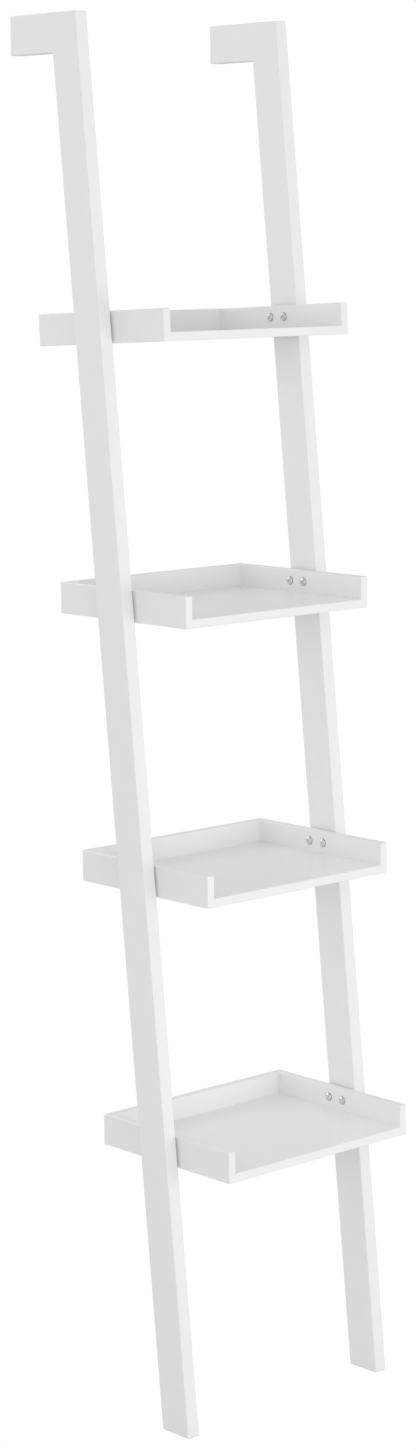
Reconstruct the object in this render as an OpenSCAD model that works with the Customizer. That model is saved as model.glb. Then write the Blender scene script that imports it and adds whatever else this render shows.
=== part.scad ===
// Leaning ladder shelf: two rails shaped like a figure 7, with four open trays bolted between them.
// +X runs to the right as seen from the front, +Y towards the wall and +Z up. The origin is on the
// floor, in the middle of the space that the shelf takes up.

/* [Overall] */
// Height from the floor to the top of the arms
overall_height = 1900; // [1600:1:2300]
// Width over the outer faces of the two rails
overall_width = 380; // [300:1:600]
// Lean of the legs from upright, in degrees
leg_lean = 5.8; // [3:0.1:9]
// Clear distance between the back of the top tray and the wall
wall_gap = 22; // [5:1:80]

/* [Rails] */
// Thickness of the boards that the rails are made of
rail_thickness = 20; // [16:0.5:30]
// Depth of a leg, measured square to its lean
leg_depth = 52; // [42:1:80]
// Height of a top arm
arm_height = 52; // [42:1:80]
// Width of the small bevel on every outer edge
edge_ease = 1; // [0.5:0.1:2]

/* [Trays] */
// Height from the floor to the lowest tray, and from each tray to the next
tray_pitch = 367; // [280:1:440]
// Front to back length of a tray
tray_depth = 256; // [200:1:340]
// Height of a tray's side boards and back rail
tray_height = 43; // [35:1:80]
// Thickness of a tray's bottom panel
panel_thickness = 12; // [9:0.5:18]
// Tilt of the top tray from level, in degrees, front edge up
top_tray_tilt = 2.6; // [-3:0.1:3]
// Thickness of a tray's side boards
side_thickness = 12; // [9:0.5:18]
// Thickness of a tray's back rail
back_thickness = 12; // [9:0.5:18]

/* [Bolts] */
// Diameter of the bolts that hold the trays
bolt_diameter = 6; // [4:0.5:8]
// Length of a bolt under its head
bolt_length = 25; // [22:1:27]
// Distance between the two bolts at one end of a tray
bolt_spacing = 27; // [20:1:34]
// Height of the bolts above the underside of their tray
bolt_height = 27.5; // [22:0.5:29]
// Diameter of a bolt's round head
head_diameter = 12.5; // [10:0.5:16]
// Height of a bolt's round head
head_height = 3.3; // [2.5:0.1:5]
// Size of the hexagon socket, across its flats
socket_size = 4; // [3:0.5:5]
// Depth of the hexagon socket
socket_depth = 2; // [1:0.1:2.2]
// Room round a bolt in a side board, a spacer or an insert
bolt_clearance = 0.3; // [0.1:0.05:0.6]

/* [Spacers and inserts] */
// Thickness of the spacer washers, which set the slot between tray and rail
spacer_thickness = 2.5; // [1:0.1:6]
// Outer diameter of a spacer washer
spacer_diameter = 16; // [12:0.5:18]
// Wall of a threaded insert round its bolt
insert_wall = 2; // [1:0.1:3]
// Length of a threaded insert
insert_length = 13; // [10:0.5:15]

/* [Dowels] */
// Diameter of the dowels in the trays
tray_dowel_diameter = 6; // [4:0.5:7]
// Length of a tray dowel's half in the end grain of a panel or back rail
tray_dowel_grip = 16; // [10:1:25]
// Wood left behind a blind dowel hole in a side board or back rail
dowel_web = 4; // [2:0.5:6]
// Diameter of the dowels in the mitred rail joints
rail_dowel_diameter = 8; // [5:0.5:10]
// Length of a rail dowel
rail_dowel_length = 36; // [20:1:40]
// Glue room round a dowel or an insert, and at its end
glue_room = 0.1; // [0.05:0.05:0.3]

/* [Hidden] */
$fn = 48;
tray_names = ["bottom", "lower", "upper", "top"];
top_level = len(tray_names);

white_lacquer = [0.93, 0.94, 0.94];
beech = [0.80, 0.66, 0.47];
zinc_steel = [0.72, 0.73, 0.75];
brass = [0.76, 0.62, 0.32];
grey_nylon = [0.45, 0.46, 0.47];

// A cut that has to break through a face starts this far outside it
overshoot = 1;

// Side view of a leg: its level depth, and how far its front has run back at a height
leg_run = leg_depth / cos(leg_lean);
function lean_run(height) = height * tan(leg_lean);

// A tray is centred on the legs at the height of its bolts
function tray_bottom(level) = level * tray_pitch;
function tray_middle(level) = lean_run(tray_bottom(level) + bolt_height) + leg_run / 2;
function tray_tilt(level) = level == top_level ? top_tray_tilt : 0;

// Depth of the whole shelf, from the front of the bottom tray to the wall
front_run = tray_middle(1) - tray_depth / 2;
wall_run = tray_middle(top_level) + tray_depth / 2 + wall_gap;
front_y = min(front_run, 0);
foot_y = -(front_y + wall_run) / 2;
wall_y = foot_y + wall_run;
function leg_front(height) = foot_y + lean_run(height);
function tray_front(level) = foot_y + tray_middle(level) - tray_depth / 2;

// Mitre between a leg and its arm, as points in the side view
arm_under = overall_height - arm_height;
notch = [leg_front(arm_under) + leg_run, arm_under];
peak = [leg_front(overall_height), overall_height];
mitre_length = norm(peak - notch);
mitre_angle = atan2(peak.y - notch.y, peak.x - notch.x);
mitre_dowel_places = [0.3, 0.6];

// Tray sizes and places across the shelf
rail_middle_x = (overall_width - rail_thickness) / 2;
rail_inner_x = overall_width / 2 - rail_thickness;
tray_half_width = rail_inner_x - spacer_thickness;
inner_half_width = tray_half_width - side_thickness;
panel_depth = tray_depth - back_thickness;

// Holes
bolt_hole_diameter = bolt_diameter + 2 * bolt_clearance;
insert_diameter = bolt_hole_diameter + 2 * insert_wall;
side_dowel_seat = side_thickness - dowel_web;
back_dowel_seat = back_thickness - dowel_web;
panel_dowel_places = [for (i = [1, 3, 5]) panel_depth * i / 6];
back_dowel_heights = [tray_height * 0.28, tray_height * 0.72];
back_joint_places = [for (i = [-1, 0, 1]) i * inner_half_width * 0.65];

// ---------- shapes used by several pieces ----------

// A rectangle from the origin with a bevel at chosen corners, counted anticlockwise from the origin
module eased_rect(width, height, corners = [1, 1, 1, 1]) {
  e = edge_ease * corners;
  polygon([
    [0, e[0]], [e[0], 0],
    [width - e[1], 0], [width, e[1]],
    [width, height - e[2]], [width - e[2], height],
    [e[3], height], [0, height - e[3]]
  ]);
}

// Extrudes a side view, drawn as [y, z] points, across the shelf
module along_x(length) {
  rotate([90, 0, 90]) linear_extrude(length) children();
}

// Extrudes a front view, drawn as [x, z] points, from front to back
module along_y(length) {
  translate([0, length, 0]) rotate([90, 0, 0]) linear_extrude(length) children();
}

// Repeats a left-hand piece as its mirror image on the right
module right_hand() {
  mirror([1, 0, 0]) children();
}

// Puts a piece drawn in a tray's own frame, front edge at y = 0 and underside at z = 0, at a level,
// turned to the tray's tilt about the middle of its bolts
module at_level(level) {
  translate([0, tray_front(level) + tray_depth / 2, tray_bottom(level) + bolt_height])
    rotate([-tray_tilt(level), 0, 0])
      translate([0, -tray_depth / 2, -bolt_height]) children();
}

// Centres of the two bolts at one end of a tray, in the tray's own frame
module at_bolts() {
  for (i = [-1, 1])
    translate([0, tray_depth / 2 + i * bolt_spacing / 2, bolt_height]) children();
}

// A round peg along +X with its two ends at given places
module peg(from_x, to_x, diameter) {
  translate([from_x, 0, 0]) rotate([0, 90, 0]) cylinder(h = to_x - from_x, d = diameter);
}

// ---------- rails ----------

// Dowels square to the mitre, each half in the leg and half in the arm
module mitre_pegs(length, diameter) {
  for (place = mitre_dowel_places) {
    middle = notch + place * (peak - notch);
    translate([-rail_middle_x, middle.x, middle.y])
      rotate([mitre_angle - 90, 0, 0])
        rotate([90, 0, 0]) cylinder(h = length, d = diameter, center = true);
  }
}

module mitre_holes() {
  mitre_pegs(rail_dowel_length + 2 * glue_room, rail_dowel_diameter + 2 * glue_room);
}

// Blind holes for the threaded inserts, in the inner face of the left leg
module insert_holes() {
  for (level = [1:top_level])
    at_level(level) at_bolts()
      peg(-rail_inner_x - insert_length - glue_room, -rail_inner_x + overshoot,
          insert_diameter + 2 * glue_room);
}

// The left leg: a board with eased edges, cut level at the floor and to the mitre at its head
module left_leg_board() {
  difference() {
    intersection() {
      translate([-overall_width / 2, foot_y, 0])
        rotate([-leg_lean, 0, 0])
          translate([0, 0, -leg_depth])
            linear_extrude(overall_height + 2 * leg_depth) eased_rect(rail_thickness, leg_depth);
      translate([-overall_width / 2 - overshoot, 0, 0])
        along_x(rail_thickness + 2 * overshoot)
          polygon([
            [foot_y + edge_ease, 0], [foot_y + leg_run - edge_ease, 0],
            [foot_y + leg_run + lean_run(edge_ease), edge_ease],
            notch, peak, [leg_front(edge_ease), edge_ease]
          ]);
      translate([-overall_width / 2, -wall_run, 0])
        along_y(3 * wall_run)
          eased_rect(rail_thickness, overall_height);
    }
    insert_holes();
    mitre_holes();
  }
}

// The left arm: a level board with eased edges, mitred to the leg and square at the wall
module left_arm_board() {
  difference() {
    intersection() {
      translate([-overall_width / 2, 0, arm_under])
        along_y(wall_y) eased_rect(rail_thickness, arm_height);
      translate([-overall_width / 2 - overshoot, 0, 0])
        along_x(rail_thickness + 2 * overshoot)
          polygon([
            notch, [wall_y - edge_ease, arm_under], [wall_y, arm_under + edge_ease],
            [wall_y, overall_height - edge_ease], [wall_y - edge_ease, overall_height], peak
          ]);
      translate([-overall_width / 2, 0, arm_under])
        linear_extrude(arm_height) eased_rect(rail_thickness, wall_y, [0, 0, 1, 1]);
    }
    mitre_holes();
  }
}

module left_mitre_pegs() {
  mitre_pegs(rail_dowel_length, rail_dowel_diameter);
}

// Threaded inserts, flush with the inner face of the left leg
module left_inserts() {
  for (level = [1:top_level])
    at_level(level) at_bolts()
      difference() {
        peg(-rail_inner_x - insert_length, -rail_inner_x, insert_diameter);
        peg(-rail_inner_x - insert_length - overshoot, -rail_inner_x + overshoot, bolt_hole_diameter);
      }
}

module left_leg() {
  color(white_lacquer) left_leg_board();
}

module right_leg() {
  color(white_lacquer) right_hand() left_leg_board();
}

module left_top_arm() {
  color(white_lacquer) left_arm_board();
}

module right_top_arm() {
  color(white_lacquer) right_hand() left_arm_board();
}

module left_mitre_dowels() {
  color(beech) left_mitre_pegs();
}

module right_mitre_dowels() {
  color(beech) right_hand() left_mitre_pegs();
}

module left_leg_inserts() {
  color(brass) left_inserts();
}

module right_leg_inserts() {
  color(brass) right_hand() left_inserts();
}

// ---------- trays, each piece drawn in the tray's own frame ----------

// Dowels between a side board and the panel and back rail, on the left; room is 0 for the dowels
// themselves and the glue room for their holes
module side_pegs(room) {
  seat = -inner_half_width - side_dowel_seat - room;
  tip = -inner_half_width + tray_dowel_grip + room;
  diameter = tray_dowel_diameter + 2 * room;
  for (y = panel_dowel_places)
    translate([0, y, panel_thickness / 2]) peg(seat, tip, diameter);
  for (z = back_dowel_heights)
    translate([0, tray_depth - back_thickness / 2, z]) peg(seat, tip, diameter);
}

// Dowels between the panel's back edge and the back rail
module back_pegs(room) {
  for (x = back_joint_places)
    translate([x, panel_depth - tray_dowel_grip - room, panel_thickness / 2])
      rotate([-90, 0, 0])
        cylinder(h = tray_dowel_grip + back_dowel_seat + 2 * room, d = tray_dowel_diameter + 2 * room);
}

module both_side_pegs(room) {
  side_pegs(room);
  right_hand() side_pegs(room);
}

// The panel lies between the side boards and butts against the back rail
module panel_board() {
  difference() {
    translate([-inner_half_width, 0, 0])
      along_x(2 * inner_half_width) eased_rect(panel_depth, panel_thickness, [1, 0, 0, 1]);
    both_side_pegs(glue_room);
    back_pegs(glue_room);
  }
}

module left_side_board() {
  difference() {
    translate([-tray_half_width, 0, 0])
      intersection() {
        along_y(tray_depth) eased_rect(side_thickness, tray_height, [1, 0, 1, 1]);
        along_x(side_thickness) eased_rect(tray_depth, tray_height);
        linear_extrude(tray_height) eased_rect(side_thickness, tray_depth, [1, 0, 0, 1]);
      }
    side_pegs(glue_room);
    at_bolts() peg(-tray_half_width - overshoot, -inner_half_width + overshoot, bolt_hole_diameter);
  }
}

// The back rail stands between the side boards, behind the panel
module back_board() {
  difference() {
    translate([-inner_half_width, panel_depth, 0])
      along_x(2 * inner_half_width) eased_rect(back_thickness, tray_height, [0, 1, 1, 1]);
    both_side_pegs(glue_room);
    back_pegs(glue_room);
  }
}

module tray_pegs() {
  both_side_pegs(0);
  back_pegs(0);
}

// A round-head bolt along +Z, its head's seat at z = 0, with a hexagon socket
module bolt() {
  dome_radius = (pow(head_diameter / 2, 2) + pow(head_height, 2)) / (2 * head_height);
  cylinder(h = bolt_length, d = bolt_diameter);
  difference() {
    intersection() {
      translate([0, 0, -head_height]) cylinder(h = head_height, d = head_diameter - 0.4);
      translate([0, 0, dome_radius - head_height]) sphere(r = dome_radius);
    }
    translate([0, 0, -head_height - overshoot])
      cylinder(h = socket_depth + overshoot, d = socket_size / cos(30), $fn = 6);
  }
}

// Bolts go outwards from the inner face of the side boards, through the spacers into the legs
module side_bolts() {
  at_bolts() translate([inner_half_width, 0, 0]) rotate([0, 90, 0]) bolt();
}

module side_spacers() {
  at_bolts()
    difference() {
      peg(tray_half_width, rail_inner_x, spacer_diameter);
      peg(tray_half_width - overshoot, rail_inner_x + overshoot, bolt_hole_diameter);
    }
}

module tray_panel(level) {
  color(white_lacquer) at_level(level) panel_board();
}

module tray_left_side(level) {
  color(white_lacquer) at_level(level) left_side_board();
}

module tray_right_side(level) {
  color(white_lacquer) at_level(level) right_hand() left_side_board();
}

module tray_back_rail(level) {
  color(white_lacquer) at_level(level) back_board();
}

module tray_dowels(level) {
  color(beech) at_level(level) tray_pegs();
}

module tray_bolts(level) {
  color(zinc_steel) at_level(level) {
    side_bolts();
    right_hand() side_bolts();
  }
}

module tray_spacers(level) {
  color(grey_nylon) at_level(level) {
    side_spacers();
    right_hand() side_spacers();
  }
}

// ---------- the whole shelf ----------

left_leg();
left_top_arm();
left_mitre_dowels();
left_leg_inserts();
right_leg();
right_top_arm();
right_mitre_dowels();
right_leg_inserts();

for (level = [1:top_level]) {
  tray = str(tray_names[level - 1], "_tray_");
  tray_panel(level);
  tray_left_side(level);
  tray_right_side(level);
  tray_back_rail(level);
  tray_dowels(level);
  tray_bolts(level);
  tray_spacers(level);
}
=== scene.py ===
import math

import bmesh
import bpy
from mathutils import Matrix, Vector


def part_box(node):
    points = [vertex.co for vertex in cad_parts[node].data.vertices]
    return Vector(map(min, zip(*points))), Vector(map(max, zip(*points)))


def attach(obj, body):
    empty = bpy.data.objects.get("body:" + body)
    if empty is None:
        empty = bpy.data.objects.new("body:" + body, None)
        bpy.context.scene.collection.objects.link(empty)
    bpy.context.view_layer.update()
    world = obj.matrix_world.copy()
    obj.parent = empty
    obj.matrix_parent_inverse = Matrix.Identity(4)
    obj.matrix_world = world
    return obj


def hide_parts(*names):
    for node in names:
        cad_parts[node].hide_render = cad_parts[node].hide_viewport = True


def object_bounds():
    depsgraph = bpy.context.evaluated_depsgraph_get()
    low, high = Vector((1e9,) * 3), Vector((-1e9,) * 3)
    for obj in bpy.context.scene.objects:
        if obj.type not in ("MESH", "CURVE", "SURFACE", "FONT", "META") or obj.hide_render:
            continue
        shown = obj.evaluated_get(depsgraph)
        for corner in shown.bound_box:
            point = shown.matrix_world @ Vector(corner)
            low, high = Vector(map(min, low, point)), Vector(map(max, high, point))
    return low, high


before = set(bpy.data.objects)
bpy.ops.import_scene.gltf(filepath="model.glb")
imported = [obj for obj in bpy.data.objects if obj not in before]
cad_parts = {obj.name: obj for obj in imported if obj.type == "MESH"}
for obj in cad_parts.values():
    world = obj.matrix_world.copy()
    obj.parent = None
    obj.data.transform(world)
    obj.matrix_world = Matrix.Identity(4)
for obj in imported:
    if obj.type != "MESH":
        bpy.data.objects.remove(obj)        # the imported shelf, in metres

packed_box = [list(corner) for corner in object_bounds()]


# ---- The two rails ---------------------------------------------------------------------------------
# Each rail is a 20 mm lacquered board that leans back from the floor and turns, in a mitre, into a
# short level arm that meets the wall. The mitre is dowelled, glued, filled and sprayed over, so no
# seam shows; the insides are drilled for the threaded inserts that take the tray bolts.
RAIL_ARRIS = 0.0016
ARRIS_STEPS = 4
CAD_EASE = 0.001
DRILL_SIDES = 48
DRILL_ROOM = 0.0001
OVERRUN = 0.001
SAW_WASTE = 0.01
levels = ["bottom", "lower", "upper", "top"]


def start_board(name, low, high):
    """A square-edged board between two corners."""
    low, high = Vector(low), Vector(high)
    bpy.ops.object.select_all(action="DESELECT")
    bpy.ops.mesh.primitive_cube_add(size=1, location=(low + high) / 2, scale=high - low)
    board = bpy.context.object
    board.name = board.data.name = name
    bpy.ops.object.transform_apply(location=True, rotation=True, scale=True)
    return board


def work_on(board, mode="EDIT"):
    """Makes this the only selected piece, in edit or object mode."""
    if bpy.context.mode != "OBJECT":
        bpy.ops.object.mode_set(mode="OBJECT")
    bpy.ops.object.select_all(action="DESELECT")
    board.select_set(True)
    bpy.context.view_layer.objects.active = board
    bpy.ops.object.mode_set(mode=mode)


def pick_faces(board, wanted):
    """Selects the faces whose middle and normal pass the test, and nothing else."""
    bpy.ops.mesh.select_mode(type="FACE")
    bpy.ops.mesh.select_all(action="DESELECT")
    shape = bmesh.from_edit_mesh(board.data)
    for face in shape.faces:
        if wanted(face.calc_center_median(), face.normal):
            face.select_set(True)
    bmesh.update_edit_mesh(board.data)


def pick_arrises(board, wanted=lambda middle: True, sharper_than=20):
    """Selects the sharp edges whose middle passes the test, and nothing else."""
    bpy.ops.mesh.select_mode(type="EDGE")
    bpy.ops.mesh.select_all(action="DESELECT")
    shape = bmesh.from_edit_mesh(board.data)
    for edge in shape.edges:
        middle = (edge.verts[0].co + edge.verts[1].co) / 2
        if edge.calc_face_angle(0) > math.radians(sharper_than) and wanted(middle):
            edge.select_set(True)
    bmesh.update_edit_mesh(board.data)


def copy_of(piece, name, move=Matrix.Identity(4)):
    """The same piece again, with its own mesh, moved and turned by a matrix."""
    work_on(piece, "OBJECT")
    bpy.ops.object.duplicate()
    copy = bpy.context.object
    copy.name = copy.data.name = name
    copy.matrix_world = move
    bpy.ops.object.transform_apply(location=True, rotation=True, scale=True)
    return copy


def apply_modifier(piece, kind, **settings):
    """Adds a modifier with these settings and applies it at once."""
    work_on(piece, "OBJECT")
    modifier = piece.modifiers.new(kind.title(), kind)
    for setting, value in settings.items():
        setattr(modifier, setting, value)
    bpy.ops.object.modifier_apply(modifier=modifier.name)


def loose_parts(node):
    """The lowest and highest corners of each separate solid in a carried-over node."""
    shape = bmesh.new()
    shape.from_mesh(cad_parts[node].data)
    bmesh.ops.remove_doubles(shape, verts=shape.verts[:], dist=0.000001)
    corners = []
    for start in shape.verts:
        if start.tag:
            continue
        start.tag = True
        to_visit, points = [start], []
        while to_visit:
            here = to_visit.pop()
            points.append(here.co.copy())
            for edge in here.link_edges:
                there = edge.other_vert(here)
                if not there.tag:
                    there.tag = True
                    to_visit.append(there)
        corners.append(tuple(
            Vector([pick(point[axis] for point in points) for axis in range(3)]) for pick in (min, max)
        ))
    shape.free()
    return corners


def joined(pieces, name):
    """Several pieces as one."""
    work_on(pieces[0], "OBJECT")
    for piece in pieces:
        piece.select_set(True)
    bpy.ops.object.join()
    whole = bpy.context.object
    whole.name = whole.data.name = name
    return whole


def round_bit(radius, length, place):
    """A round cutter, its axis turned from Z and its middle moved by a matrix."""
    bpy.ops.object.select_all(action="DESELECT")
    bpy.ops.mesh.primitive_cylinder_add(vertices=DRILL_SIDES, radius=radius, depth=length)
    bit = bpy.context.object
    bit.matrix_world = place
    return bit


def drill(boards, bits):
    """Takes the cutters' shapes out of each board."""
    cutter = joined(bits, "cutter")
    for board in boards:
        apply_modifier(board, "BOOLEAN", operation="DIFFERENCE", solver="EXACT", object=cutter)
    bpy.data.objects.remove(cutter)


def through(from_x, to_x, centre):
    """Where a bit along X stands that reaches from one x to another at a (y, z) centre."""
    middle = Matrix.Translation(((from_x + to_x) / 2, *centre))
    return middle @ Matrix.Rotation(math.radians(90), 4, "Y")


def saw(board, place, normal):
    """Cuts a piece in edit mode along a plane, drops what is beyond it and closes the cut."""
    bpy.ops.mesh.select_mode(type="EDGE")
    bpy.ops.mesh.select_all(action="SELECT")
    bpy.ops.mesh.bisect(plane_co=place, plane_no=normal, use_fill=False, clear_outer=True)
    bpy.ops.mesh.select_all(action="DESELECT")
    bpy.ops.mesh.select_non_manifold()
    bpy.ops.mesh.edge_face_add()
    bpy.ops.mesh.select_all(action="SELECT")
    bpy.ops.mesh.normals_make_consistent(inside=False)


def smooth_and_mark(piece, bend=50, narrow=0.001):
    """Lets the rounded edges run smoothly into the flats, which stay truly flat, and marks where the
    lacquer runs over an arris."""
    work_on(piece, "OBJECT")
    bpy.ops.object.shade_smooth()
    mesh = piece.data
    flats, strips = {}, {}
    for face in mesh.polygons:
        outline = sum((mesh.vertices[a].co - mesh.vertices[b].co).length for a, b in face.edge_keys)
        kind = flats if face.area > narrow * outline / 2 else strips
        for corner in face.vertices:
            kind.setdefault(corner, []).append(face.normal.copy())
    turned_to = []
    for face in mesh.polygons:
        for corner in face.vertices:
            beside = [
                [n for n in kind.get(corner, []) if n.angle(face.normal) < math.radians(bend)]
                for kind in (flats, strips)
            ]
            if beside[0]:
                turned_to.append(min(beside[0], key=lambda n: n.angle(face.normal)))
            else:
                turned_to.append(sum(beside[1], Vector()).normalized())
    mesh.normals_split_custom_set(turned_to)
    mark = mesh.attributes.new("arris", "FLOAT", "POINT")
    mark.data.foreach_set("value", [float(point not in flats) for point in range(len(mesh.vertices))])


class Wire:
    """One output of a node, which adds, takes away, multiplies and raises like a number."""

    def __init__(self, finish, socket):
        self.finish = finish
        self.socket = socket

    def maths(self, operation, *values):
        return self.finish.node("ShaderNodeMath", {"operation": operation}, dict(enumerate(values)))

    def __add__(self, other):
        return self.maths("ADD", self, other)

    __radd__ = __add__

    def __sub__(self, other):
        return self.maths("SUBTRACT", self, other)

    def __rsub__(self, other):
        return self.maths("SUBTRACT", other, self)

    def __mul__(self, other):
        return self.maths("MULTIPLY", self, other)

    __rmul__ = __mul__

    def __pow__(self, power):
        return self.maths("POWER", self, power)


class Finish:
    """The nodes of a material or of the studio's air, and the one way they are made."""

    def __init__(self, owner):
        self.owner = owner
        owner.use_nodes = True
        self.tree = owner.node_tree
        self.tree.nodes.clear()

    def node(self, kind, settings=(), sockets=(), output=0):
        """Makes a node: its settings first, then the values or wires of its sockets."""
        made = self.tree.nodes.new(kind)
        for setting, value in dict(settings).items():
            setattr(made, setting, value)
        for socket, value in dict(sockets).items():
            if isinstance(value, Wire):
                self.tree.links.new(value.socket, made.inputs[socket])
            else:
                made.inputs[socket].default_value = value
        return Wire(self, made.outputs[output]) if made.outputs else made

    def place(self, stretch=(1, 1, 1), turn=(0, 0, 0)):
        """Where on the shelf a point is, with a pattern's stretch and turn."""
        here = self.node("ShaderNodeTexCoord", output="Object")
        return self.node("ShaderNodeMapping", {}, {"Vector": here, "Scale": stretch, "Rotation": turn})

    def noise(self, place, scale, detail=2.0, roughness=0.5):
        return self.node(
            "ShaderNodeTexNoise", {},
            {"Vector": place, "Scale": scale, "Detail": detail, "Roughness": roughness},
        )

    def mix(self, amount, first, second):
        """Mixes two colours."""
        settings = {"data_type": "RGBA", "clamp_factor": True}
        return self.node("ShaderNodeMix", settings, {0: amount, 6: first, 7: second}, output=2)

    def finished(self, **surface):
        """The surface and its output, from sockets of the shader with underscores for spaces."""
        shader = self.node(
            "ShaderNodeBsdfPrincipled", {}, {name.replace("_", " "): v for name, v in surface.items()}
        )
        self.node("ShaderNodeOutputMaterial", {}, {"Surface": shader})
        return self.owner


def sprayed_lacquer():
    """Satin white lacquer, sprayed over filled and sanded board: a faint orange peel, a trace of the
    board's lengthways texture under it, slow drifts of tone and sheen, and a thinner film on edges."""
    lacquer = Finish(bpy.data.materials.new("white_lacquer_sprayed"))
    here = lacquer.place()
    drift = lacquer.noise(here, 3.5, 2.0)
    cloud = lacquer.noise(here, 26.0, 3.0)
    peel = lacquer.noise(here, 520.0, 2.0, 0.45)
    ripple = lacquer.noise(here, 150.0, 1.0)
    fibre = lacquer.noise(lacquer.place(stretch=(260.0, 34.0, 34.0)), 1.0, 3.0)
    thin = lacquer.node("ShaderNodeAttribute", {"attribute_name": "arris"}, output="Fac")
    tone = drift * 0.5 + cloud * 0.35 + fibre * 0.15
    cool, warm = (0.885, 0.892, 0.894, 1), (0.925, 0.925, 0.922, 1)
    bare = (0.850, 0.845, 0.835, 1)
    film = lacquer.mix(tone, cool, warm)
    colour = lacquer.mix(thin * 0.35, film, bare)
    height = peel * 0.6 + ripple * 0.4 + fibre * 0.15
    relief = lacquer.node(
        "ShaderNodeBump", {}, {"Strength": 0.35, "Distance": 0.00006, "Height": height}
    )
    return lacquer.finished(
        Base_Color=colour,
        Roughness=0.30 + cloud * 0.08 - thin * 0.01,
        Specular_IOR_Level=0.5,
        Coat_Weight=0.20 + drift * 0.12,
        Coat_Roughness=0.14,
        Normal=relief,
    )


white_lacquer = sprayed_lacquer()
leg_low, leg_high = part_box("left_leg")
arm_low, arm_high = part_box("left_top_arm")
arm_under = arm_low.z
rail_top = arm_high.z
wall_y = arm_high.y
peak_y = arm_low.y
notch_y = leg_high.y
lean = (peak_y - leg_low.y) / (rail_top - CAD_EASE)
foot_y = peak_y - lean * rail_top
leg_run = notch_y - (foot_y + lean * arm_under)

rail = start_board("rail", (leg_low.x, foot_y, 0), (leg_high.x, foot_y + leg_run, arm_under))
work_on(rail)
pick_faces(rail, lambda middle, normal: normal.z > 0.9)
bpy.ops.transform.translate(value=(0, lean * arm_under, 0))
bpy.ops.mesh.extrude_region_move(
    TRANSFORM_OT_translate={"value": (0, lean * (rail_top - arm_under), rail_top - arm_under)}
)
pick_faces(rail, lambda middle, normal: normal.y > 0.9 and middle.z > arm_under)
bpy.ops.mesh.extrude_region_move(TRANSFORM_OT_translate={"value": (0, wall_y - notch_y + SAW_WASTE, 0)})
saw(rail, (0, wall_y, 0), (0, 1, 0))
bpy.ops.mesh.select_all(action="SELECT")
bpy.ops.mesh.dissolve_limited(angle_limit=math.radians(1))
pick_arrises(rail)
bpy.ops.mesh.bevel(offset=RAIL_ARRIS, segments=ARRIS_STEPS, profile=0.5, affect="EDGES")
bpy.ops.object.mode_set(mode="OBJECT")

# the bolts' centres, front and back, from the spacer washers that sit round them; where a tray isn't
# level, its front bolt is the higher one
low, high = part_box("bottom_tray_spacers")
washer_radius = (high.z - low.z) / 2
bolt_centres = {}
for level in levels:
    low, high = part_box(level + "_tray_spacers")
    bolt_centres[level] = [
        (low.y + washer_radius, high.z - washer_radius), (high.y - washer_radius, low.z + washer_radius)
    ]


def hung_at(level):
    """From the bottom tray to another: over to the middle of its bolts, and turned to its tilt."""
    middles, tilts = [], []
    for name in ("bottom", level):
        (front_y, front_z), (back_y, back_z) = bolt_centres[name]
        middles.append(Vector((0, (front_y + back_y) / 2, (front_z + back_z) / 2)))
        tilts.append(math.atan2(front_z - back_z, back_y - front_y))
    turn = Matrix.Rotation(tilts[0] - tilts[1], 4, "X")
    return Matrix.Translation(middles[1]) @ turn @ Matrix.Translation(-middles[0])


mitre_foot = Vector((0, notch_y, arm_under))
mitre_normal = Vector((0, rail_top - arm_under, notch_y - peak_y)).normalized()

# the dowels of each mitre lie square to it: where they are, how thick and how long
mitre_pegs = {}
for side in ("left", "right"):
    mitre_pegs[side] = []
    for low, high in loose_parts(side + "_mitre_dowels"):
        thick = high.x - low.x
        long = (high.y - low.y - thick * mitre_normal.z) / mitre_normal.y
        turn = mitre_normal.to_track_quat("Z", "X").to_matrix().to_4x4()
        mitre_pegs[side].append((thick / 2, long, Matrix.Translation((low + high) / 2) @ turn))

for side in ("left", "right"):
    insert_low, insert_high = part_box(side + "_leg_inserts")
    insert_radius = bolt_centres["bottom"][0][1] - insert_low.z
    across = Matrix.Translation((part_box(side + "_leg")[0].x - leg_low.x, 0, 0))

    leg = copy_of(rail, side + "_leg_board", across)
    work_on(leg)
    saw(leg, mitre_foot, mitre_normal)
    bpy.ops.object.mode_set(mode="OBJECT")

    # the bores for the inserts: blind on the outside, open on the inside
    deep = DRILL_ROOM if side == "left" else OVERRUN
    shallow = DRILL_ROOM if side == "right" else OVERRUN
    from_x, to_x = insert_low.x - deep, insert_high.x + shallow
    drill([leg], [
        round_bit(insert_radius + DRILL_ROOM, to_x - from_x, through(from_x, to_x, centre))
        for level in levels
        for centre in bolt_centres[level]
    ])

    arm = copy_of(rail, side + "_arm_board", across)
    work_on(arm)
    saw(arm, mitre_foot, -mitre_normal)
    bpy.ops.object.mode_set(mode="OBJECT")
    drill([leg, arm], [
        round_bit(radius + DRILL_ROOM, length + 2 * DRILL_ROOM, place)
        for radius, length, place in mitre_pegs[side]
    ])
    for board, node in ((leg, "_leg"), (arm, "_top_arm")):
        smooth_and_mark(board)
        board.data.materials.append(white_lacquer)
        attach(board, "root")
        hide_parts(side + node)
bpy.data.objects.remove(rail)


# ---- Dowels ----------------------------------------------------------------------------------------
# Fluted beech pegs with chamfered ends, glued blind into the mitres of the rails and into every corner
# of the trays. They only show when the shelf is taken apart.
PEG_SIDES = 48
FLUTE_EVERY = 4
FLUTE_DEPTH = 0.06
PEG_CHAMFER = 0.0008
CHAMFER_SHRINK = 0.84


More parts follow.
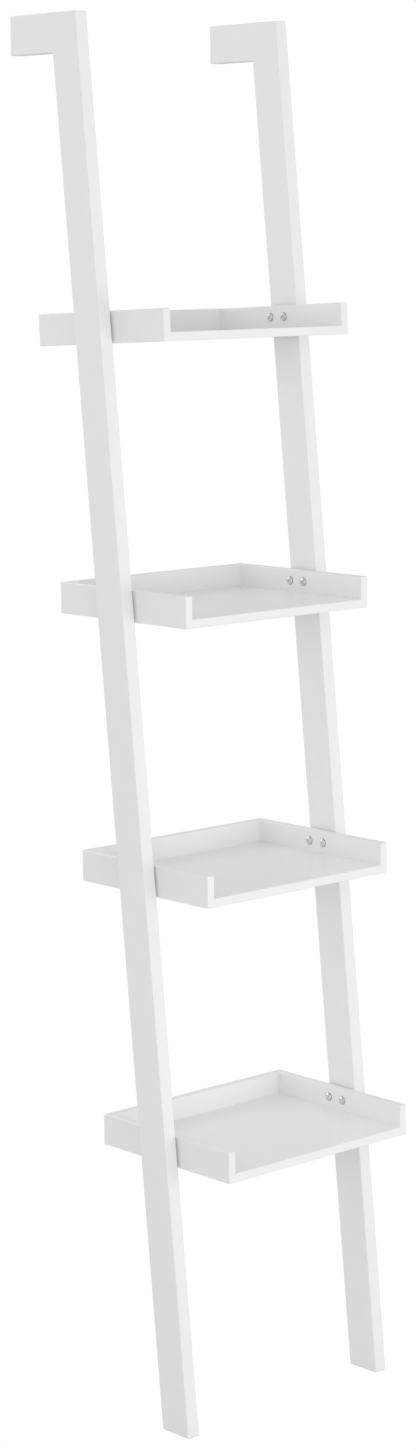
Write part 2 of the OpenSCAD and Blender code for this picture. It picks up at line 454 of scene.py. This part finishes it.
def turned_beech():
    """Pale beech: fine pores and short flecks along the peg, and a slow change of tone."""
    beech = Finish(bpy.data.materials.new("beech_dowel_turned"))
    in_peg = beech.node("ShaderNodeAttribute", {"attribute_name": "grain"}, output="Vector")
    along = beech.node("ShaderNodeMapping", {}, {"Vector": in_peg, "Scale": (900.0, 900.0, 60.0)})
    fleck = beech.noise(along, 1.0, 3.0)
    band = beech.noise(beech.place(), 70.0, 2.0)
    pale, dark = (0.68, 0.49, 0.30, 1), (0.47, 0.29, 0.15, 1)
    colour = beech.mix(fleck ** 2 * 1.4 + band * 0.2, pale, dark)
    relief = beech.node("ShaderNodeBump", {}, {"Strength": 0.4, "Distance": 0.0001, "Height": fleck})
    return beech.finished(
        Base_Color=colour,
        Roughness=0.55 + fleck * 0.2,
        Specular_IOR_Level=0.4,
        Normal=relief,
    )


def fluted_peg(radius, length):
    """One dowel, standing on Z round the origin: a fluted outline drawn up between two chamfers."""
    bpy.ops.object.select_all(action="DESELECT")
    bpy.ops.mesh.primitive_circle_add(
        vertices=PEG_SIDES, radius=radius, fill_type="NGON", location=(0, 0, -length / 2)
    )
    peg = bpy.context.object
    bpy.ops.object.transform_apply(location=True, rotation=True, scale=True)
    work_on(peg)
    bpy.ops.mesh.select_mode(type="VERT")
    bpy.ops.mesh.select_all(action="DESELECT")
    outline = bmesh.from_edit_mesh(peg.data)
    for point in list(outline.verts)[::FLUTE_EVERY]:
        point.select_set(True)
    bmesh.update_edit_mesh(peg.data)
    bpy.ops.transform.resize(value=(1 - FLUTE_DEPTH, 1 - FLUTE_DEPTH, 1))
    bpy.ops.mesh.select_mode(type="FACE")
    bpy.ops.mesh.select_all(action="SELECT")
    bpy.ops.transform.resize(value=(CHAMFER_SHRINK, CHAMFER_SHRINK, 1))
    for rise, widen in (
        (PEG_CHAMFER, 1 / CHAMFER_SHRINK), (length - 2 * PEG_CHAMFER, 1), (PEG_CHAMFER, CHAMFER_SHRINK)
    ):
        bpy.ops.mesh.extrude_region_move(TRANSFORM_OT_translate={"value": (0, 0, rise)})
        bpy.ops.transform.resize(value=(widen, widen, 1))
    bpy.ops.mesh.select_all(action="SELECT")
    bpy.ops.mesh.normals_make_consistent(inside=False)
    bpy.ops.object.mode_set(mode="OBJECT")
    bpy.ops.object.shade_smooth_by_angle(angle=math.radians(30))
    grain = peg.data.attributes.new("grain", "FLOAT_VECTOR", "POINT")
    for point, local in zip(peg.data.vertices, grain.data):
        local.vector = point.co
    peg.data.materials.append(beech_dowel)
    return peg


beech_dowel = turned_beech()
for side in ("left", "right"):
    pegs = []
    for radius, length, place in mitre_pegs[side]:
        peg = fluted_peg(radius, length)
        pegs.append(copy_of(peg, "peg", place))
        bpy.data.objects.remove(peg)
    pair = joined(pegs, side + "_mitre_pegs")
    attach(pair, "root")
    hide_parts(side + "_mitre_dowels")

# the pegs of one tray, which lie along X or along Y
tray_pegs = []
for low, high in loose_parts("bottom_tray_dowels"):
    size = high - low
    middle = Matrix.Translation((low + high) / 2)
    if size.x > size.y:
        tray_pegs.append((size.z / 2, size.x, middle @ Matrix.Rotation(math.radians(90), 4, "Y")))
    else:
        tray_pegs.append((size.x / 2, size.y, middle @ Matrix.Rotation(math.radians(90), 4, "X")))
peg_radius, peg_length, _ = tray_pegs[0]
peg = fluted_peg(peg_radius, peg_length)
one_tray = joined([copy_of(peg, "peg", place) for _, _, place in tray_pegs], "tray_pegs")
for level in levels:
    set_of_pegs = copy_of(one_tray, level + "_tray_pegs", hung_at(level))
    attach(set_of_pegs, "root")
    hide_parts(level + "_tray_dowels")
bpy.data.objects.remove(peg)
bpy.data.objects.remove(one_tray)


# ---- Threaded inserts ------------------------------------------------------------------------------
# Brass sleeves screwed into the inner face of each leg, two behind every tray end, flush with the
# wood. The bolts of the trays run into them.
def machined_brass():
    """Brass straight from the lathe: fine turning marks and a few darker, tarnished patches."""
    brass = Finish(bpy.data.materials.new("brass_insert_machined"))
    turned = brass.noise(brass.place(stretch=(4200.0, 60.0, 60.0)), 1.0, 2.0)
    tarnish = brass.noise(brass.place(), 210.0, 3.0)
    bright, dull = (0.74, 0.55, 0.25, 1), (0.48, 0.33, 0.14, 1)
    relief = brass.node("ShaderNodeBump", {}, {"Strength": 0.3, "Distance": 0.00004, "Height": turned})
    return brass.finished(
        Base_Color=brass.mix(tarnish ** 2, bright, dull),
        Metallic=1.0,
        Roughness=0.26 + tarnish * 0.16,
        Normal=relief,
    )


def recoat(node, finish):
    """Gives a carried-over node its finish."""
    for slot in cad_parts[node].material_slots:
        slot.material = finish


brass_insert = machined_brass()
for side in ("left", "right"):
    recoat(side + "_leg_inserts", brass_insert)


# ---- Trays -----------------------------------------------------------------------------------------
# Four identical trays, open at the front: a bottom panel between two side boards, with a rail standing
# across the back. All 12 mm board, dowelled and glued square, then sprayed in one with their joints
# filled. The side boards are bored for the bolts.
TRAY_ARRIS = 0.0012
BOLT_BORE = 0.0033
TOUCHING = 0.0002


def round_arrises(board, wanted):
    """Rounds the chosen sharp edges of a tray board."""
    pick_arrises(board, wanted)
    bpy.ops.mesh.bevel(offset=TRAY_ARRIS, segments=ARRIS_STEPS, profile=0.5, affect="EDGES")
    bpy.ops.object.mode_set(mode="OBJECT")


def near(a, b):
    return abs(a - b) < TOUCHING


panel_low, panel_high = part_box("bottom_tray_panel")
left_low, left_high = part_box("bottom_tray_left_side")
right_low, right_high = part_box("bottom_tray_right_side")
back_low, back_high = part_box("bottom_tray_back_rail")

# the panel: only its front edge is free
panel = start_board("tray_panel", panel_low, panel_high)
work_on(panel)
round_arrises(panel, lambda middle: near(middle.y, panel_low.y) and near(middle.x, 0))

# the back rail: its top edges and its lower back edge are free
back_rail = start_board("tray_back_rail", back_low, back_high)
work_on(back_rail)
round_arrises(
    back_rail,
    lambda middle: near(middle.x, 0) and (near(middle.z, back_high.z) or near(middle.y, back_high.y)),
)

# the side boards: every edge is free but those that the panel and the back rail close off
tray_sides = {}
for side, low, high in (("left", left_low, left_high), ("right", right_low, right_high)):
    inner_x = high.x if side == "left" else low.x
    board = start_board("tray_side_" + side, low, high)
    work_on(board)
    bpy.ops.mesh.select_all(action="SELECT")
    bpy.ops.mesh.bisect(plane_co=(0, 0, panel_high.z), plane_no=(0, 0, 1))
    round_arrises(
        board,
        lambda middle: not near(middle.x, inner_x)
        or near(middle.z, high.z)
        or (near(middle.y, low.y) and middle.z > panel_high.z),
    )
    drill([board], [
        round_bit(BOLT_BORE, high.x - low.x + 2 * OVERRUN, through(low.x, high.x, centre))
        for centre in bolt_centres["bottom"]
    ])
    tray_sides[side] = board

# blind holes for the pegs, drilled through the joints
drill([panel, back_rail, *tray_sides.values()], [
    round_bit(radius + DRILL_ROOM, length + 2 * DRILL_ROOM, place) for radius, length, place in tray_pegs
])
for board in (panel, back_rail, *tray_sides.values()):
    smooth_and_mark(board)
    board.data.materials.append(white_lacquer)

for level in levels:
    for source, board_name, node in (
        (panel, "_panel_board", "_tray_panel"),
        (back_rail, "_back_board", "_tray_back_rail"),
        (tray_sides["left"], "_left_board", "_tray_left_side"),
        (tray_sides["right"], "_right_board", "_tray_right_side"),
    ):
        piece = copy_of(source, level + board_name, hung_at(level))
        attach(piece, "root")
        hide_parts(level + node)
for source in (panel, back_rail, *tray_sides.values()):
    bpy.data.objects.remove(source)


# ---- Bolts -----------------------------------------------------------------------------------------
# Zinc-plated machine screws with low domed heads and hexagon sockets, two through each side board.
# Each goes outwards through the board and a spacer into its insert in the leg.
SOCKET_ACROSS_FLATS = 0.004
SOCKET_DEPTH = 0.0020
SOCKET_POINT = 0.0008
SOCKET_MOUTH = 0.0026
MOUTH_CHAMFER = 0.0002
SOCKET_LEDGE = 0.0003
POINT_RUN = 0.0015
BOLT_DIAMETER = 0.006
SHANK_CHAMFER = 0.0006
HEAD_HEIGHT = 0.0033
RIM_SPARE = 0.0002
HEAD_SIDES = 48
DOME_RINGS = 9
RIM_STARTS = 0.0049
RIM_ENDS = 0.0060


def plated_steel():
    """Bright zinc over turned steel: rings round the axis on the head, a little cloudiness, and a
    painted shadow: a darker rim where the head meets the board."""
    steel = Finish(bpy.data.materials.new("bolt_steel_plated"))
    rings = steel.node("ShaderNodeAttribute", {"attribute_name": "turned"}, output="Fac")
    ring_tone = steel.node(
        "ShaderNodeTexNoise", {"noise_dimensions": "1D"}, {"W": rings, "Scale": 9000.0, "Detail": 2.0}
    )
    cloud = steel.noise(steel.place(), 320.0, 3.0)
    # painted shadow: this mask darkens the outer edge of the head, where it meets the board
    rim = steel.node(
        "ShaderNodeMapRange", {"interpolation_type": "SMOOTHSTEP"},
        {"Value": rings, "From Min": RIM_STARTS, "From Max": RIM_ENDS},
    )
    bright, dull = (0.84, 0.84, 0.85, 1), (0.62, 0.62, 0.64, 1)
    # the colour of the painted shadow round the edge of the head
    rim_shade_grey = (0.30, 0.30, 0.31, 1)
    plate = steel.mix(cloud * 0.6 + ring_tone * 0.3, bright, dull)
    relief = steel.node(
        "ShaderNodeBump", {}, {"Strength": 0.35, "Distance": 0.00003, "Height": ring_tone}
    )
    return steel.finished(
        Base_Color=steel.mix(rim, plate, rim_shade_grey),
        Metallic=1.0,
        Roughness=0.22 + cloud * 0.14 + rim * 0.15,
        Normal=relief,
    )


bolt_steel = plated_steel()
bolts_low, bolts_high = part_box("bottom_tray_bolts")
head_radius = bolt_centres["bottom"][0][0] - bolts_low.y
seat_x = right_low.x
shank_end = bolts_high.x - seat_x
dome_radius = ((head_radius + RIM_SPARE) ** 2 + HEAD_HEIGHT ** 2) / (2 * HEAD_HEIGHT)


def dome_height(radius):
    """How far the dome stands off the seat, at a distance from its axis."""
    return HEAD_HEIGHT - dome_radius + math.sqrt(dome_radius ** 2 - radius ** 2)


# the head, its seat at z = 0 and its dome upwards, drawn up in rings from a low cylinder
rim = dome_height(head_radius)
bpy.ops.object.select_all(action="DESELECT")
bpy.ops.mesh.primitive_cylinder_add(
    vertices=HEAD_SIDES, radius=head_radius, depth=rim, location=(0, 0, rim / 2)
)
bolt = bpy.context.object
bpy.ops.object.transform_apply(location=True, rotation=True, scale=True)
work_on(bolt)
pick_faces(bolt, lambda middle, normal: normal.z > 0.9)
ring_radii = [
    SOCKET_MOUTH + (head_radius - SOCKET_MOUTH) * math.cos(math.radians(90 * step / DOME_RINGS))
    for step in range(DOME_RINGS + 1)
]
for outer, inner in zip(ring_radii, ring_radii[1:]):
    bpy.ops.mesh.inset(thickness=outer - inner, depth=dome_height(inner) - dome_height(outer))
# the mouth of the socket is countersunk a little
bpy.ops.mesh.inset(thickness=MOUTH_CHAMFER, depth=-MOUTH_CHAMFER)
bpy.ops.object.mode_set(mode="OBJECT")

# the socket: a hexagon with a drilled point, cut from the head
bpy.ops.object.select_all(action="DESELECT")
bpy.ops.mesh.primitive_cylinder_add(
    vertices=6, radius=SOCKET_ACROSS_FLATS / 2 / math.cos(math.radians(30)), depth=SOCKET_DEPTH * 2,
    location=(0, 0, HEAD_HEIGHT),
)
punch = bpy.context.object
bpy.ops.object.transform_apply(location=True, rotation=True, scale=True)
work_on(punch)
pick_faces(punch, lambda middle, normal: normal.z < -0.9)
bpy.ops.mesh.inset(thickness=SOCKET_LEDGE, depth=0)
bpy.ops.mesh.inset(thickness=POINT_RUN, depth=SOCKET_POINT)
bpy.ops.object.mode_set(mode="OBJECT")
apply_modifier(bolt, "BOOLEAN", operation="DIFFERENCE", solver="EXACT", object=punch)
bpy.data.objects.remove(punch)

# the shank runs down from the seat and ends in a small chamfer
work_on(bolt)
pick_faces(bolt, lambda middle, normal: normal.z < -0.9 and abs(middle.z) < 0.0001)
bpy.ops.mesh.inset(thickness=head_radius - BOLT_DIAMETER / 2, depth=0)
bpy.ops.mesh.extrude_region_move(TRANSFORM_OT_translate={"value": (0, 0, SHANK_CHAMFER - shank_end)})
bpy.ops.mesh.inset(thickness=SHANK_CHAMFER, depth=SHANK_CHAMFER)
work_on(bolt, "OBJECT")
bpy.ops.object.shade_smooth_by_angle(angle=math.radians(30))
turned = bolt.data.attributes.new("turned", "FLOAT", "POINT")
turned.data.foreach_set("value", [v.co.xy.length + abs(min(v.co.z, 0)) for v in bolt.data.vertices])
bolt.data.materials.append(bolt_steel)

for level in levels:
    copies = []
    for hand in (-1, 1):
        for y, z in bolt_centres[level]:
            seat = Matrix.Translation((hand * seat_x, y, z))
            copies.append(copy_of(bolt, "bolt", seat @ Matrix.Rotation(math.radians(-90 * hand), 4, "Y")))
    four = joined(copies, level + "_bolts")
    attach(four, "root")
    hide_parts(level + "_tray_bolts")
bpy.data.objects.remove(bolt)


# ---- Spacers ---------------------------------------------------------------------------------------
# Moulded grey nylon washers round the bolts. They hold the trays off the legs and leave the narrow
# dark slot that shows beside each tray.
def moulded_nylon():
    """Grey nylon: matt, with the fine grain of the mould and faint flow marks."""
    nylon = Finish(bpy.data.materials.new("grey_nylon_moulded"))
    grain = nylon.noise(nylon.place(), 2600.0, 2.0)
    flow = nylon.noise(nylon.place(stretch=(1, 1, 4)), 160.0, 2.0)
    relief = nylon.node("ShaderNodeBump", {}, {"Strength": 0.4, "Distance": 0.00005, "Height": grain})
    return nylon.finished(
        Base_Color=nylon.mix(flow * 0.7 + grain * 0.3, (0.13, 0.13, 0.135, 1), (0.19, 0.19, 0.195, 1)),
        Roughness=0.48 + grain * 0.14,
        Normal=relief,
    )


grey_nylon = moulded_nylon()
for level in levels:
    recoat(level + "_tray_spacers", grey_nylon)


# ---- Floor, light and camera -----------------------------------------------------------------------
# A plain pale paper floor in a white studio, with soft light from the front and behind, and a camera
# at standing height to the left of the shelf. The floor throws its light up at the shelf but isn't
# seen itself, so that the white has no horizon.
FLOOR_ACROSS = 60
AIR_LIGHT = 0.638
CAMERA_PLACE = (-2.8427, -3.1193, 1.6113)
CAMERA_HEADING = math.radians(-42.1265)
CAMERA_DROP = math.radians(8.9936)
CAMERA_ROLL = math.radians(-0.5387)
LENS_MM = 77.084
SENSOR_MM = 36.0

bpy.ops.object.select_all(action="DESELECT")
bpy.ops.mesh.primitive_plane_add(size=FLOOR_ACROSS, location=(0, 0, 0))
floor = bpy.context.object
floor.name = "studio_floor"
paper = Finish(bpy.data.materials.new("studio_paper"))
paper_noise = paper.noise(paper.place(), 1.2, 2.0)
floor.data.materials.append(paper.finished(
    Base_Color=paper.mix(paper_noise, (0.73, 0.73, 0.73, 1), (0.76, 0.76, 0.76, 1)),
    Roughness=0.9,
    Specular_IOR_Level=0.0,
))
floor.visible_camera = False

scene = bpy.context.scene
scene.view_settings.view_transform = "Standard"
scene.world = bpy.data.worlds.new("studio_air")
air = Finish(scene.world)
white = (1, 1, 1, 1)
lighting = air.node("ShaderNodeBackground", {}, {"Color": white, "Strength": AIR_LIGHT})
seen = air.node("ShaderNodeBackground", {}, {"Color": white, "Strength": 1.0})
by_camera = air.node("ShaderNodeLightPath", output="Is Camera Ray")
both = air.node("ShaderNodeMixShader", {}, {"Fac": by_camera, 1: lighting, 2: seen})
air.node("ShaderNodeOutputWorld", {}, {"Surface": both})


def softbox(name, place, aim, size, power, shines=True):
    """A large soft lamp at a place, turned towards a point. One that doesn't shine leaves no gloss."""
    lamp = bpy.data.lights.new(name, "AREA")
    lamp.shape = "RECTANGLE"
    lamp.size, lamp.size_y = size
    lamp.energy = power
    holder = bpy.data.objects.new(name, lamp)
    scene.collection.objects.link(holder)
    holder.location = place
    holder.rotation_euler = (Vector(aim) - Vector(place)).to_track_quat("-Z", "Y").to_euler()
    holder.visible_camera = False
    holder.visible_glossy = shines
    return holder


shelf_middle = (Vector(packed_box[0]) + Vector(packed_box[1])) / 2
softbox("front_low_box", (0.9, -3.6, 0.7), shelf_middle, (2.4, 1.2), 28.3, shines=False)
softbox("front_left_box", (-2.2, -3.4, 1.6), shelf_middle, (3.2, 2.4), 33.5)
softbox("back_left_box", (-3.2, 2.6, 1.8), shelf_middle, (2.2, 2.6), 9.6)
softbox("back_box", (0.0, 3.6, 2.4), shelf_middle, (4.6, 3.4), 50.5)

lens = bpy.data.cameras.new("studio_camera")
lens.sensor_fit = "AUTO"
lens.sensor_width = SENSOR_MM
lens.lens = LENS_MM
lens.clip_start, lens.clip_end = 0.1, 100.0
camera = bpy.data.objects.new("studio_camera", lens)
scene.collection.objects.link(camera)
camera.matrix_world = (
    Matrix.Translation(CAMERA_PLACE)
    @ Matrix.Rotation(CAMERA_HEADING, 4, "Z")
    @ Matrix.Rotation(math.radians(90) - CAMERA_DROP, 4, "X")
    @ Matrix.Rotation(CAMERA_ROLL, 4, "Z")
)
scene.camera = camera
